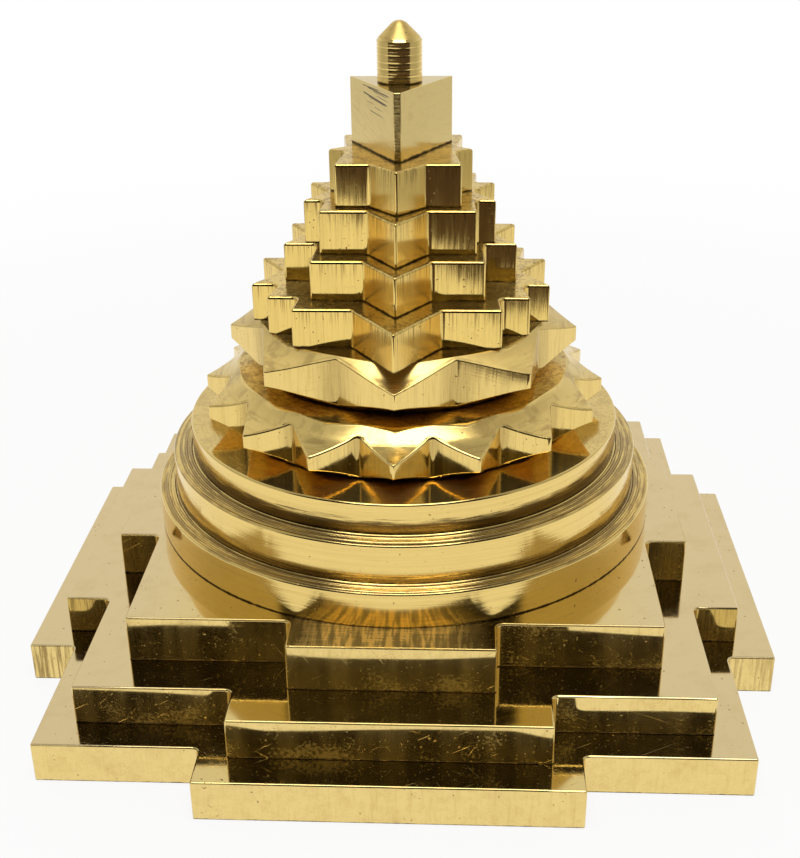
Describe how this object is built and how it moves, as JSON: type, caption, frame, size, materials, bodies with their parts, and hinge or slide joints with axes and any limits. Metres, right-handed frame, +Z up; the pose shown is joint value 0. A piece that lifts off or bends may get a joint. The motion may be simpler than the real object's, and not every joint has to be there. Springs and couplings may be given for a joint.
{
  "type": "meru yantra",
  "caption": "Stepped brass meru yantra: gated square plates, round girdles, petalled rings and pointed triangle tiers stacked up to a turned knob on a central rod, to stand on a shelf or altar.",
  "frame": {"origin": "centre of the underside, where the rod's axis meets the table", "axes": "+Z up along the rod, front point of every tier towards -Y, X along the front edges"},
  "size_m": [0.1028, 0.1028, 0.0861],
  "materials": {
    "milled_brass": "linished and polished",
    "turned_brass": "fine turned and polished",
    "steel": "zinc plated"
  },
  "bodies": {
    "root": {"bhupura_lower": "milled_brass", "bhupura_middle": "milled_brass", "bhupura_upper": "milled_brass", "girdle_lower": "turned_brass", "girdle_middle": "turned_brass", "girdle_upper": "turned_brass", "lotus_sixteen": "turned_brass", "lotus_eight": "turned_brass", "triangles_fourteen": "milled_brass", "triangles_ten_outer": "milled_brass", "triangles_ten_inner": "milled_brass", "triangles_eight": "milled_brass", "trikona": "milled_brass", "bindu": "turned_brass", "tie_rod": "steel", "clamp_washer": "steel", "clamp_nut": "steel"}
  },
  "joints": []
}
